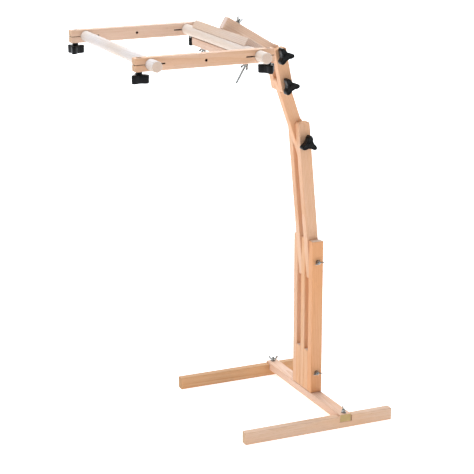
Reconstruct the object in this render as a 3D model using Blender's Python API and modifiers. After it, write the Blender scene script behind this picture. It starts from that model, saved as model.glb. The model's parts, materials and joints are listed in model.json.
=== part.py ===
"""Floor stand with a scroll frame for needlework.

A wooden base carries three posts, a tilting mast, two more arm stages and a head
arm.  A clamp under the head arm grips the back roller of a rectangular scroll
frame.  Black three-lobed knobs and wing nuts lock the joints.

Metres, +Z up.  +X runs along the feet away from the user, +Y along the crossbar.
The origin is on the floor under the middle of the whole stand.
"""

import math

import bmesh
import bpy
from mathutils import Matrix

# ---------------------------------------------------------------- driving sizes

# Planed timber and the gap kept between touching pieces
STOCK_WIDTH = 0.030
STOCK_THICKNESS = 0.020
GAP = 0.0003
LAYER = STOCK_THICKNESS + GAP
EASED_EDGE = 0.0011

# Base
FOOT_BACK = 0.264          # from the posts towards the user
FOOT_FORWARD = 0.127       # from the posts away from the user
FOOT_HEIGHT = 0.030
FOOT_SPACING = 0.394       # between the two feet's centre lines
CROSSBAR_UNDERSIDE = 0.015
CROSSBAR_TOP = CROSSBAR_UNDERSIDE + STOCK_THICKNESS
NOTCH_PLAY = 0.0020        # extra width of a notch on its far side
POST_TOP = 0.425
SPACER_TOP = 0.140
REAR_SPACER_SLACK = 0.0014
POST_BOLT_HEIGHT = 0.087

# Linkage: spans between pivots, and leans from upright towards the user
MAST_PIVOT_HEIGHT = 0.373
MAST_SPAN = 0.297
MAST_TAIL = 0.047
MAST_HEAD = 0.050
MAST_LEAN = math.radians(5.2)
LOWER_ARM_SPAN = 0.152
LOWER_ARM_TAIL = 0.041
LOWER_ARM_LEAN = math.radians(19.4)
UPPER_ARM_SPAN = 0.074
UPPER_ARM_LEAN = math.radians(11.6)
ARM_END = 0.016            # wood beyond a pivot
HEAD_ARM_REACH = 0.157
HEAD_ARM_LEAN = math.radians(59.0)
CORNER_RADIUS = 0.006

# Clamp: the upper jaw lies along the head arm and the lower jaw is level
UPPER_JAW_LENGTH = 0.300
UPPER_JAW_WIDTH = 0.050
LOWER_JAW_LENGTH = 0.292
LOWER_JAW_WIDTH = 0.0402
LOWER_JAW_THICKNESS = 0.0185
LOWER_JAW_GROOVE = 0.0015  # the depth its channel bites at the roller's bottom
LOWER_JAW_LIP = 0.009      # of the lower jaw in front of the back roller's axis
JAW_FRONT = 0.1549         # along the head arm, to the upper jaw's front face
SWIVEL_REACH = 0.1245      # along the head arm, to the swivel bolt
JAW_BOLT_SETBACK = 0.0404  # from the upper jaw's front face back to the clamp bolts
JAW_BOLT_SPACING = 0.240
ROLLER_BELOW_JAW = 0.007   # of the back roller's axis below the upper jaw
CLAMP_BOLT_TAIL = 0.115    # below the head arm's centre line

# Scroll frame
ROLLER_RADIUS = 0.0125
ROLLER_CHAMFER = 0.0012
NEAR_OVERHANG = 0.036      # of a roller past the near rail
FAR_OVERHANG = 0.016       # of a roller past the far rail
ROLLER_SPACING = 0.257
ROLLER_SETBACK = 0.0125    # of the back roller's axis behind the upper jaw's front face
RAIL_LENGTH = 0.329
RAIL_INNER_SPACING = 0.398
INNER_SLIT_HEIGHT = 0.0026
END_SLIT_HEIGHT = 0.0010
SLIT_PAST_ROLLER = 0.033
RAIL_BOLT_INSET = 0.0125
RAIL_HOLE_RADIUS = 0.0030
KNOB_PAST_RAIL = 0.00727   # of the near front knob's lobe past its rail's end

# Hardware
SHANK_RADIUS = 0.0025
SHANK_CHAMFER = 0.0005
BORE_RADIUS = 0.0028
RECESS_RADIUS = 0.0062
RECESS_DEPTH = 0.0050
HEAD_RADIUS = 0.0053
HEAD_HEIGHT = 0.0035
HEAD_CHAMFER = 0.0004
DOME_RADIUS = 0.0067
DOME_HEIGHT = 0.0030
WASHER_RADIUS = 0.0063
WASHER_THICKNESS = 0.0012
NUT_BASE_RADIUS = 0.0055
NUT_TOP_RADIUS = 0.0045
NUT_HEIGHT = 0.0065
NUT_COLLAR = 0.0012        # height of the straight part of a wing nut's hub
WING_ROOT_OUT = 0.0036
WING_ROOT_LOW = 0.0007
WING_ROOT_HIGH = 0.0052
WING_TIP_OUT = 0.0097
WING_TIP_UP = 0.0095
WING_TIP_RADIUS = 0.0030
WING_THICKNESS = 0.0020
BOLT_PAST_NUT = 0.0030
KNOB_REACH = 0.0220        # from a knob's axis to the tip of a lobe
KNOB_WAIST = 0.0105        # from a knob's axis to the hollow between two lobes
KNOB_SHARPNESS = 0.0014    # narrows the lobes and broadens the hollows
KNOB_BODY = 0.0190
KNOB_HUB_RADIUS = 0.0070
KNOB_HUB_HEIGHT = 0.0060
KNOB_EDGE = 0.0016
KNOB_BORE_DEPTH = 0.0180
KNOB_END_PLAY = 0.0015     # between a bolt's tip and the end of a knob's bore

# Facets round a bore, a turned piece, a roller and a knob
BORE_FACETS = 16
TURNED_FACETS = 16
ROLLER_FACETS = 40
KNOB_FACETS = 30
SHARP_ANGLE = math.radians(40)

# Lengths of the cutters for through holes, and how far other cutters overrun the wood
THROUGH = 0.200
OVERRUN = 0.020

# ------------------------------------------------------------- places worked out

POST_HALF_STACK = 2 * LAYER + STOCK_THICKNESS / 2
MAST_HALF_STACK = LAYER + STOCK_THICKNESS / 2
UNDER_HEAD_ARM = -STOCK_WIDTH / 2 - GAP
CLAMP_BOLT_PLACE = JAW_FRONT - JAW_BOLT_SETBACK - SWIVEL_REACH
ROLLER_REACH = JAW_FRONT - ROLLER_SETBACK
ROLLER_DROP = UNDER_HEAD_ARM - STOCK_THICKNESS - ROLLER_BELOW_JAW
RAIL_PAST_ROLLER = (RAIL_LENGTH - ROLLER_SPACING) / 2
RAIL_OFFSET = RAIL_INNER_SPACING / 2 + STOCK_THICKNESS / 2
ROLLER_LENGTH = RAIL_INNER_SPACING + 2 * STOCK_THICKNESS + NEAR_OVERHANG + FAR_OVERHANG
NUT_STAND_OFF = GAP + WASHER_THICKNESS + GAP


# The nuts under the level lower jaw tilt with their bolts, so each washer meets the jaw
# at its rim, and its middle hangs lower.
WASHER_HANG = WASHER_RADIUS * math.cos(HEAD_ARM_LEAN)
LOWER_JAW_TOP = LOWER_JAW_GROOVE - ROLLER_RADIUS - GAP
WASHER_BELOW_ROLLER = LOWER_JAW_THICKNESS - LOWER_JAW_TOP + WASHER_HANG
BOLT_BEHIND_ROLLER = JAW_BOLT_SETBACK - ROLLER_SETBACK
CLAMP_NUT_SEAT = ROLLER_DROP - (
    WASHER_BELOW_ROLLER - BOLT_BEHIND_ROLLER * math.cos(HEAD_ARM_LEAN)
) / math.sin(HEAD_ARM_LEAN)


def forward_of_pivot(lean, along, across=0.0):
    """X of a point on a leaning stick: `along` it and `across` it."""
    return -along * math.sin(lean) + across * math.cos(lean)


HEAD_PIVOT_X = (
    forward_of_pivot(MAST_LEAN, MAST_SPAN)
    + forward_of_pivot(LOWER_ARM_LEAN, LOWER_ARM_SPAN)
    + forward_of_pivot(UPPER_ARM_LEAN, UPPER_ARM_SPAN)
)
BACK_ROLLER_X = HEAD_PIVOT_X + forward_of_pivot(HEAD_ARM_LEAN, ROLLER_REACH, ROLLER_DROP)
FRAME_END_X = BACK_ROLLER_X + RAIL_PAST_ROLLER - RAIL_LENGTH - KNOB_PAST_RAIL
POST_X = -(FRAME_END_X + FOOT_FORWARD) / 2
POST_Y = (NEAR_OVERHANG - FAR_OVERHANG) / 2

# Which way a piece's own +Z points, as a turn in the frame that carries it
FACING = {
    "up": Matrix.Identity(4),
    "down": Matrix.Rotation(math.radians(180), 4, "X"),
    "front": Matrix.Rotation(math.radians(90), 4, "X"),
    "rear": Matrix.Rotation(math.radians(-90), 4, "X"),
    "over": Matrix.Rotation(math.radians(90), 4, "Y"),
    "under": Matrix.Rotation(math.radians(-90), 4, "Y"),
    "level": Matrix.Rotation(HEAD_ARM_LEAN, 4, "Y"),
}

# ------------------------------------------------------------------- scene setup


def clear_scene():
    for old in list(bpy.data.objects):
        bpy.data.objects.remove(old, do_unlink=True)


def make_collection(name):
    collection = bpy.data.collections.new(name)
    bpy.context.scene.collection.children.link(collection)
    return collection


def make_material(name, colour, roughness, metallic):
    material = bpy.data.materials.new(name)
    material.use_nodes = True
    shader = material.node_tree.nodes["Principled BSDF"]
    shader.inputs["Base Color"].default_value = (*colour, 1.0)
    shader.inputs["Roughness"].default_value = roughness
    shader.inputs["Metallic"].default_value = metallic
    material.diffuse_color = (*colour, 1.0)
    return material


clear_scene()
PARTS = make_collection("needlework_floor_stand")
CUTTERS = make_collection("cutters")

TIMBER = make_material("timber", (0.80, 0.56, 0.36), 0.55, 0.0)
DOWEL = make_material("dowel", (0.86, 0.74, 0.58), 0.60, 0.0)
PLASTIC = make_material("knob_plastic", (0.02, 0.02, 0.02), 0.45, 0.0)
ZINC = make_material("zinc", (0.55, 0.56, 0.57), 0.35, 1.0)


def axis_frame(name, parent, location, turn=0.0):
    """An empty on a joint's axis; `turn` is its own lean towards the user."""
    empty = bpy.data.objects.new(name, None)
    empty.empty_display_size = 0.03
    empty.parent = parent
    empty.location = location
    empty.rotation_euler = (0.0, -turn, 0.0)
    PARTS.objects.link(empty)
    return empty


# ------------------------------------------------------------------ mesh helpers


def box_mesh(name, low, high, rounded_ends=()):
    """A box between two corners; `rounded_ends` names Z ends whose corners are rounded."""
    bm = bmesh.new()
    bmesh.ops.create_cube(bm, size=1.0)
    size = [high[i] - low[i] for i in range(3)]
    middle = [(high[i] + low[i]) / 2 for i in range(3)]
    bmesh.ops.scale(bm, vec=size, verts=bm.verts)
    bmesh.ops.translate(bm, vec=middle, verts=bm.verts)
    for end in rounded_ends:
        height = high[2] if end == "top" else low[2]
        corners = [
            edge for edge in bm.edges
            if all(abs(vert.co.z - height) < 1e-6 for vert in edge.verts)
            and abs(edge.verts[0].co.x - edge.verts[1].co.x) < 1e-6
        ]
        bmesh.ops.bevel(
            bm, geom=corners, offset=CORNER_RADIUS, offset_type="OFFSET",
            segments=4, profile=0.5, affect="EDGES",
        )
    mesh = bpy.data.meshes.new(name)
    bm.to_mesh(mesh)
    bm.free()
    return mesh


def add_part(name, mesh, frame, material, location=(0, 0, 0), facing="up", spin=0.0):
    """Link a named piece into its frame, turned to face a way and spun about its own axis."""
    part = bpy.data.objects.new(name, mesh)
    part.parent = frame
    turn = FACING[facing] @ Matrix.Rotation(math.radians(spin), 4, "Z")
    part.matrix_basis = Matrix.Translation(location) @ turn
    if not mesh.materials:
        mesh.materials.append(material)
    PARTS.objects.link(part)
    return part


def ease_edges(part, width=EASED_EDGE):
    bevel = part.modifiers.new("eased_edges", "BEVEL")
    bevel.width = width
    bevel.segments = 1
    bevel.limit_method = "ANGLE"
    bevel.angle_limit = SHARP_ANGLE


def cut(part, cutter):
    """Subtract a cutter, which is carried by the same frame as the piece."""
    cutter.parent = part.parent
    cutter.hide_render = True
    cutter.display_type = "WIRE"
    CUTTERS.objects.link(cutter)
    boolean = part.modifiers.new(cutter.name, "BOOLEAN")
    boolean.operation = "DIFFERENCE"
    boolean.solver = "EXACT"
    boolean.object = cutter


def cylinder_cutter(name, location, facing, radius, depth, facets=BORE_FACETS):
    """A cylinder centred on `location`, its length along the facing direction."""
    bm = bmesh.new()
    bmesh.ops.create_cone(
        bm, cap_ends=True, segments=facets, radius1=radius, radius2=radius, depth=depth,
    )
    mesh = bpy.data.meshes.new(name)
    bm.to_mesh(mesh)
    bm.free()
    cutter = bpy.data.objects.new(name, mesh)
    cutter.matrix_basis = Matrix.Translation(location) @ FACING[facing]
    return cutter


def drill(part, location, facing, radius=BORE_RADIUS, depth=THROUGH, facets=BORE_FACETS):
    name = "%s_bore_%d" % (part.name, len(part.modifiers))
    cut(part, cylinder_cutter(name, location, facing, radius, depth, facets))


def mill(part, low, high):
    """Subtract a box given by two corners in the piece's frame."""
    name = "%s_slot_%d" % (part.name, len(part.modifiers))
    cut(part, bpy.data.objects.new(name, box_mesh(name, low, high)))


def turned_mesh(name, profile, facets=TURNED_FACETS, ring=False):
    """Revolve a profile of (radius, height) points, listed down the outer side."""
    bm = bmesh.new()
    points = [bm.verts.new((radius, 0.0, height)) for radius, height in profile]
    for upper, lower in zip(points, points[1:]):
        bm.edges.new((upper, lower))
    if ring:
        bm.edges.new((points[-1], points[0]))
    outline = bpy.data.meshes.new(name + "_outline")
    bm.to_mesh(outline)
    bm.free()
    carrier = bpy.data.objects.new(name + "_carrier", outline)
    bpy.context.scene.collection.objects.link(carrier)
    screw = carrier.modifiers.new("turn", "SCREW")
    screw.axis = "Z"
    screw.steps = facets
    screw.render_steps = facets
    screw.use_merge_vertices = True
    screw.merge_threshold = 0.00001
    mesh = mesh_of(carrier, name)
    bpy.data.objects.remove(carrier, do_unlink=True)
    mesh.shade_smooth()
    mesh.set_sharp_from_angle(angle=SHARP_ANGLE)
    return mesh


def mesh_of(carrier, name):
    """The mesh that an object's modifiers make, as plain mesh data."""
    depsgraph = bpy.context.evaluated_depsgraph_get()
    mesh = bpy.data.meshes.new_from_object(carrier.evaluated_get(depsgraph))
    mesh.name = name
    return mesh


# --------------------------------------------------------------- shared hardware


def shank_profile(length):
    """The lower part of a bolt's profile, from under its head to its chamfered tip."""
    return [
        (SHANK_RADIUS, 0.0),
        (SHANK_RADIUS, SHANK_CHAMFER - length),
        (SHANK_RADIUS - SHANK_CHAMFER, -length),
        (0.0, -length),
    ]


def domed_bolt_mesh(name, length):
    """A coach bolt: a shallow dome over a round shank."""
    dome = [(0.0, DOME_HEIGHT)]
    for degrees in (62, 34, 6):
        angle = math.radians(degrees)
        dome.append((DOME_RADIUS * math.cos(angle), DOME_HEIGHT * math.sin(angle)))
    dome.append((DOME_RADIUS, 0.0))
    return turned_mesh(name, dome + shank_profile(length))


def flat_bolt_mesh(name, length):
    """A bolt with a flat cylindrical head that sits in a recess."""
    head = [
        (0.0, HEAD_HEIGHT),
        (HEAD_RADIUS - HEAD_CHAMFER, HEAD_HEIGHT),
        (HEAD_RADIUS, HEAD_HEIGHT - HEAD_CHAMFER),
        (HEAD_RADIUS, 0.0),
    ]
    return turned_mesh(name, head + shank_profile(length))


def washer_mesh():
    half = WASHER_THICKNESS / 2
    profile = [
        (BORE_RADIUS, half),
        (WASHER_RADIUS, half),
        (WASHER_RADIUS, -half),
        (BORE_RADIUS, -half),
    ]
    return turned_mesh("washer", profile, ring=True)


def wing_mesh(name, side):
    """One ear of a wing nut: a thin plate that widens into a round tip."""
    outline = [(WING_ROOT_OUT, WING_ROOT_LOW)]
    for degrees in range(-60, 181, 40):
        angle = math.radians(degrees)
        outline.append((
            WING_TIP_OUT + WING_TIP_RADIUS * math.cos(angle),
            WING_TIP_UP + WING_TIP_RADIUS * math.sin(angle),
        ))
    outline.append((WING_ROOT_OUT, WING_ROOT_HIGH))
    bm = bmesh.new()
    corners = [bm.verts.new((side * out, -WING_THICKNESS / 2, up)) for out, up in outline]
    plate = bm.faces.new(corners)
    swept = bmesh.ops.extrude_face_region(bm, geom=[plate])
    moved = [item for item in swept["geom"] if isinstance(item, bmesh.types.BMVert)]
    bmesh.ops.translate(bm, vec=(0, WING_THICKNESS, 0), verts=moved)
    bmesh.ops.recalc_face_normals(bm, faces=bm.faces)
    mesh = bpy.data.meshes.new(name)
    bm.to_mesh(mesh)
    bm.free()
    return mesh


def wing_nut_mesh():
    """A tapered hub with a through bore and two ears joined to it."""
    hub = [
        (BORE_RADIUS, NUT_HEIGHT),
        (NUT_TOP_RADIUS, NUT_HEIGHT),
        (NUT_BASE_RADIUS, NUT_COLLAR),
        (NUT_BASE_RADIUS, 0.0),
        (BORE_RADIUS, 0.0),
    ]
    carrier = bpy.data.objects.new("nut_carrier", turned_mesh("wing_nut_hub", hub, ring=True))
    bpy.context.scene.collection.objects.link(carrier)
    ears = []
    for side in (-1, 1):
        ear = bpy.data.objects.new("ear", wing_mesh("ear", side))
        bpy.context.scene.collection.objects.link(ear)
        join = carrier.modifiers.new("join_ear", "BOOLEAN")
        join.operation = "UNION"
        join.solver = "EXACT"
        join.object = ear
        ears.append(ear)
    mesh = mesh_of(carrier, "wing_nut")
    for used in [carrier] + ears:
        bpy.data.objects.remove(used, do_unlink=True)
    return mesh


def lobed_ring(bm, height, inset):
    """A ring of points on a three-lobed outline."""
    mean = (KNOB_REACH + KNOB_WAIST - 2 * KNOB_SHARPNESS) / 2
    swing = (KNOB_REACH - KNOB_WAIST) / 2
    ring = []
    for step in range(KNOB_FACETS):
        angle = 2 * math.pi * step / KNOB_FACETS
        reach = mean + swing * math.cos(3 * angle) + KNOB_SHARPNESS * math.cos(6 * angle) - inset
        ring.append(bm.verts.new((reach * math.cos(angle), reach * math.sin(angle), height)))
    return ring


def round_ring(bm, height, radius):
    ring = []
    for step in range(KNOB_FACETS):
        angle = 2 * math.pi * step / KNOB_FACETS
        ring.append(bm.verts.new((radius * math.cos(angle), radius * math.sin(angle), height)))
    return ring


def knob_mesh():
    """A lobed hand knob on a round hub, with a blind bore in the hub's face.

    The skin is lofted from the bottom of the bore, out over the hub and the lobes,
    to the crown.
    """
    body_top = KNOB_HUB_HEIGHT + KNOB_BODY
    bm = bmesh.new()
    rings = [
        round_ring(bm, KNOB_BORE_DEPTH, BORE_RADIUS),
        round_ring(bm, 0.0, BORE_RADIUS),
        round_ring(bm, 0.0, KNOB_HUB_RADIUS),
        round_ring(bm, KNOB_HUB_HEIGHT, KNOB_HUB_RADIUS),
        lobed_ring(bm, KNOB_HUB_HEIGHT, KNOB_EDGE),
        lobed_ring(bm, KNOB_HUB_HEIGHT + KNOB_EDGE, 0.0),
        lobed_ring(bm, body_top - KNOB_EDGE, 0.0),
        lobed_ring(bm, body_top, KNOB_EDGE),
    ]
    for lower, upper in zip(rings, rings[1:]):
        for step in range(KNOB_FACETS):
            following = (step + 1) % KNOB_FACETS
            bm.faces.new((lower[step], lower[following], upper[following], upper[step]))
    bm.faces.new(rings[0])
    bm.faces.new(rings[-1])
    bmesh.ops.recalc_face_normals(bm, faces=bm.faces)
    mesh = bpy.data.meshes.new("knob")
    bm.to_mesh(mesh)
    bm.free()
    mesh.shade_smooth()
    mesh.set_sharp_from_angle(angle=SHARP_ANGLE)
    return mesh


WASHER = washer_mesh()
WING_NUT = wing_nut_mesh()
KNOB = knob_mesh()


def add_washer(name, frame, seat, facing):
    """A washer whose underside sits one gap off the seat."""
    lift = GAP + WASHER_THICKNESS / 2
    offset = FACING[facing].to_3x3() @ Matrix.Translation((0, 0, lift)).to_translation()
    place = [seat[i] + offset[i] for i in range(3)]
    return add_part(name, WASHER, frame, ZINC, place, facing)


def add_on_washer(name, mesh, material, frame, seat, facing, spin):
    """A nut or a knob standing on a washer over the seat."""
    offset = FACING[facing].to_3x3() @ Matrix.Translation((0, 0, NUT_STAND_OFF)).to_translation()
    place = [seat[i] + offset[i] for i in range(3)]
    return add_part(name, mesh, frame, material, place, facing, spin)


# ------------------------------------------------------------------------ frames

BASE = axis_frame("base_frame", None, (POST_X, POST_Y, 0))
MAST = axis_frame("mast_axis", BASE, (0, 0, MAST_PIVOT_HEIGHT), MAST_LEAN)
LOWER_ARM = axis_frame(
    "lower_arm_axis", MAST, (0, 0, MAST_SPAN), LOWER_ARM_LEAN - MAST_LEAN)
UPPER_ARM = axis_frame(
    "upper_arm_axis", LOWER_ARM, (0, 0, LOWER_ARM_SPAN), UPPER_ARM_LEAN - LOWER_ARM_LEAN)
HEAD_ARM = axis_frame(
    "head_arm_axis", UPPER_ARM, (0, 0, UPPER_ARM_SPAN), HEAD_ARM_LEAN - UPPER_ARM_LEAN)
CLAMP = axis_frame("clamp_swivel_axis", HEAD_ARM, (0, 0, SWIVEL_REACH))
SCROLL_FRAME = axis_frame(
    "scroll_frame_axis", CLAMP,
    (ROLLER_DROP, 0, ROLLER_REACH - SWIVEL_REACH), -HEAD_ARM_LEAN)

# -------------------------------------------------------------------------- base


def build_base():
    half_width = STOCK_WIDTH / 2
    half_thickness = STOCK_THICKNESS / 2
    for side, label in ((-1, "front"), (1, "rear")):
        centre = side * FOOT_SPACING / 2
        foot_box = box_mesh(
            label + "_foot",
            (-FOOT_BACK, centre - half_thickness, 0.0),
            (FOOT_FORWARD, centre + half_thickness, FOOT_HEIGHT),
        )
        foot = add_part(label + "_foot", foot_box, BASE, TIMBER)
        ease_edges(foot)
        mill(
            foot,
            (-half_width - GAP, centre - OVERRUN, CROSSBAR_UNDERSIDE - GAP),
            (half_width + GAP + NOTCH_PLAY, centre + OVERRUN, FOOT_HEIGHT + OVERRUN),
        )
        drill(foot, (0, centre, 0), "up")
        drill(foot, (0, centre, 0), "up", RECESS_RADIUS, 2 * RECESS_DEPTH)
        build_lap_fastener(label, centre)

    reach = FOOT_SPACING / 2 + half_thickness
    crossbar_box = box_mesh(
        "crossbar",
        (-half_width, -reach, CROSSBAR_UNDERSIDE),
        (half_width, reach, CROSSBAR_TOP),
    )
    crossbar = add_part("crossbar", crossbar_box, BASE, TIMBER)
    ease_edges(crossbar)
    for side in (-1, 1):
        drill(crossbar, (0, side * FOOT_SPACING / 2, CROSSBAR_TOP), "up")

    for layer, label in ((-2, "front"), (0, "middle"), (2, "rear")):
        build_upright("post_" + label, layer, POST_TOP, (MAST_PIVOT_HEIGHT, POST_BOLT_HEIGHT))
    build_upright("spacer_front", -1, SPACER_TOP, (POST_BOLT_HEIGHT,))
    build_upright("spacer_rear", 1, SPACER_TOP, (POST_BOLT_HEIGHT,), REAR_SPACER_SLACK)

    build_cross_bolt("mast_bolt", BASE, MAST_PIVOT_HEIGHT, POST_HALF_STACK, "mast_wing_nut", 4)
    build_cross_bolt("post_bolt", BASE, POST_BOLT_HEIGHT, POST_HALF_STACK, "post_wing_nut", 5)


def build_lap_fastener(label, centre):
    """The bolt, washer and wing nut that hold the crossbar down in one foot."""
    head_seat = RECESS_DEPTH - GAP
    top = CROSSBAR_TOP + NUT_STAND_OFF + NUT_HEIGHT + BOLT_PAST_NUT
    name = label + "_lap_bolt"
    bolt_mesh = flat_bolt_mesh(name, top - head_seat)
    add_part(name, bolt_mesh, BASE, ZINC, (0, centre, head_seat), "down")
    seat = (0, centre, CROSSBAR_TOP)
    add_washer(label + "_lap_washer", BASE, seat, "up")
    spin = 78 if label == "front" else -24
    add_on_washer(label + "_lap_wing_nut", WING_NUT, ZINC, BASE, seat, "up", spin)


def build_upright(name, layer, top, bores, slack=0.0):
    """A vertical stick standing on the crossbar, in one layer of the sandwich.

    `slack` is how much thinner it is, on its front side.
    """
    front = layer * LAYER - STOCK_THICKNESS / 2 + slack
    low = (-STOCK_WIDTH / 2, front, CROSSBAR_TOP + GAP)
    high = (STOCK_WIDTH / 2, layer * LAYER + STOCK_THICKNESS / 2, top)
    upright = add_part(name, box_mesh(name, low, high), BASE, TIMBER)
    ease_edges(upright)
    for height in bores:
        drill(upright, (0, 0, height), "front")


def build_cross_bolt(name, frame, height, half_stack, nut_name, spin):
    """A coach bolt from the rear, with a washer and a wing nut in front."""
    length = 2 * half_stack + GAP + NUT_STAND_OFF + NUT_HEIGHT + BOLT_PAST_NUT
    add_part(name, domed_bolt_mesh(name, length), frame, ZINC,
             (0, half_stack + GAP, height), "rear")
    seat = (0, -half_stack, height)
    add_washer(nut_name.replace("wing_nut", "washer"), frame, seat, "front")
    add_on_washer(nut_name, WING_NUT, ZINC, frame, seat, "front", spin)


# ----------------------------------------------------------------------- linkage


def build_stick(name, frame, layer, low_end, high_end, bores, rounded_ends):
    """A leaning stick in one layer of the linkage, bored for its pivots."""
    low = (-STOCK_WIDTH / 2, layer * LAYER - STOCK_THICKNESS / 2, low_end)
    high = (STOCK_WIDTH / 2, layer * LAYER + STOCK_THICKNESS / 2, high_end)
    stick = add_part(name, box_mesh(name, low, high, rounded_ends), frame, TIMBER)
    ease_edges(stick)
    for height in bores:
        drill(stick, (0, 0, height), "front")
    return stick


def build_pivot_knob(label, frame, height, spin):
    """A pivot's coach bolt, washer and knob."""
    length = 2 * MAST_HALF_STACK + GAP + NUT_STAND_OFF + KNOB_BORE_DEPTH - KNOB_END_PLAY
    name = label + "_bolt"
    add_part(name, domed_bolt_mesh(name, length), frame, ZINC,
             (0, MAST_HALF_STACK + GAP, height), "rear")
    seat = (0, -MAST_HALF_STACK, height)
    add_washer(label + "_washer", frame, seat, "front")
    add_on_washer(label + "_knob", KNOB, PLASTIC, frame, seat, "front", spin)


def build_linkage():
    mast_top = MAST_SPAN + MAST_HEAD
    for layer, label in ((-1, "front"), (1, "rear")):
        build_stick("mast_" + label, MAST, layer, -MAST_TAIL, mast_top, (0, MAST_SPAN), ("top",))
        build_stick(
            "upper_arm_" + label, UPPER_ARM, layer, -ARM_END, UPPER_ARM_SPAN + ARM_END,
            (0, UPPER_ARM_SPAN), ("top", "bottom"))
    build_stick(
        "lower_arm", LOWER_ARM, 0, -LOWER_ARM_TAIL, LOWER_ARM_SPAN + ARM_END,
        (0, LOWER_ARM_SPAN), ("top", "bottom"))
    head_arm = build_stick(
        "head_arm", HEAD_ARM, 0, -ARM_END, HEAD_ARM_REACH, (0,), ("bottom",))
    drill(head_arm, (0, 0, SWIVEL_REACH), "over")

    build_pivot_knob("lower_arm", MAST, MAST_SPAN, 80)
    build_pivot_knob("upper_arm", UPPER_ARM, 0, -12)
    build_pivot_knob("head_arm", UPPER_ARM, UPPER_ARM_SPAN, -12)


# ------------------------------------------------------------------------- clamp


def build_upper_jaw():
    """A board along the roller, with a round channel for it.

    Heights are across the head arm, so the jaw's top is its +X side in this frame.
    """
    front = JAW_FRONT - SWIVEL_REACH
    underside = UNDER_HEAD_ARM - STOCK_THICKNESS
    half_length = UPPER_JAW_LENGTH / 2
    low = (underside, -half_length, front - UPPER_JAW_WIDTH)
    high = (UNDER_HEAD_ARM, half_length, front)
    jaw = add_part("jaw_upper", box_mesh("jaw_upper", low, high), CLAMP, TIMBER)
    ease_edges(jaw)
    channel = (ROLLER_DROP, 0, ROLLER_REACH - SWIVEL_REACH)
    channel_length = UPPER_JAW_LENGTH + OVERRUN
    drill(jaw, channel, "front", ROLLER_RADIUS + GAP, channel_length, ROLLER_FACETS)
    drill(jaw, (0, 0, 0), "over")
    drill(jaw, (underside, 0, 0), "over", RECESS_RADIUS, 2 * RECESS_DEPTH)
    for side in (-1, 1):
        place = (UNDER_HEAD_ARM, side * JAW_BOLT_SPACING / 2, CLAMP_BOLT_PLACE)
        drill(jaw, place, "over")
        drill(jaw, place, "over", RECESS_RADIUS, 2 * RECESS_DEPTH)


def build_lower_jaw():
    """A level board with a shallow channel, and the clamp bolts slanting through it."""
    top = LOWER_JAW_TOP
    half_length = LOWER_JAW_LENGTH / 2
    low = (-LOWER_JAW_LIP, -half_length, top - LOWER_JAW_THICKNESS)
    high = (LOWER_JAW_WIDTH - LOWER_JAW_LIP, half_length, top)
    place = (ROLLER_DROP, 0, ROLLER_REACH - SWIVEL_REACH)
    jaw = add_part("jaw_lower", box_mesh("jaw_lower", low, high), CLAMP, TIMBER, place, "level")
    ease_edges(jaw)
    channel_length = LOWER_JAW_LENGTH + OVERRUN
    drill(jaw, place, "front", ROLLER_RADIUS + GAP, channel_length, ROLLER_FACETS)
    for side in (-1, 1):
        drill(jaw, (ROLLER_DROP, side * JAW_BOLT_SPACING / 2, CLAMP_BOLT_PLACE), "over")


def build_clamp():
    upper_underside = UNDER_HEAD_ARM - STOCK_THICKNESS
    half_spacing = JAW_BOLT_SPACING / 2
    build_upper_jaw()
    build_lower_jaw()

    for side, label in ((-1, "near"), (1, "far")):
        across = side * half_spacing
        head_seat = UNDER_HEAD_ARM - RECESS_DEPTH + GAP
        name = "clamp_bolt_" + label
        bolt_mesh = flat_bolt_mesh(name, head_seat + CLAMP_BOLT_TAIL)
        add_part(name, bolt_mesh, CLAMP, ZINC, (head_seat, across, CLAMP_BOLT_PLACE), "over")
        seat = (CLAMP_NUT_SEAT, across, CLAMP_BOLT_PLACE)
        add_washer("clamp_washer_" + label, CLAMP, seat, "under")
        add_on_washer("clamp_wing_nut_" + label, WING_NUT, ZINC, CLAMP, seat, "under", 80)

    head_seat = upper_underside + RECESS_DEPTH - GAP
    arm_top = STOCK_WIDTH / 2
    swivel_tip = arm_top + NUT_STAND_OFF + NUT_HEIGHT + BOLT_PAST_NUT
    swivel_mesh = flat_bolt_mesh("swivel_bolt", swivel_tip - head_seat)
    add_part("swivel_bolt", swivel_mesh, CLAMP, ZINC, (head_seat, 0, 0), "under")
    add_washer("swivel_washer", CLAMP, (arm_top, 0, 0), "over")
    add_on_washer("swivel_wing_nut", WING_NUT, ZINC, CLAMP, (arm_top, 0, 0), "over", 35)


# ------------------------------------------------------------------ scroll frame


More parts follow.
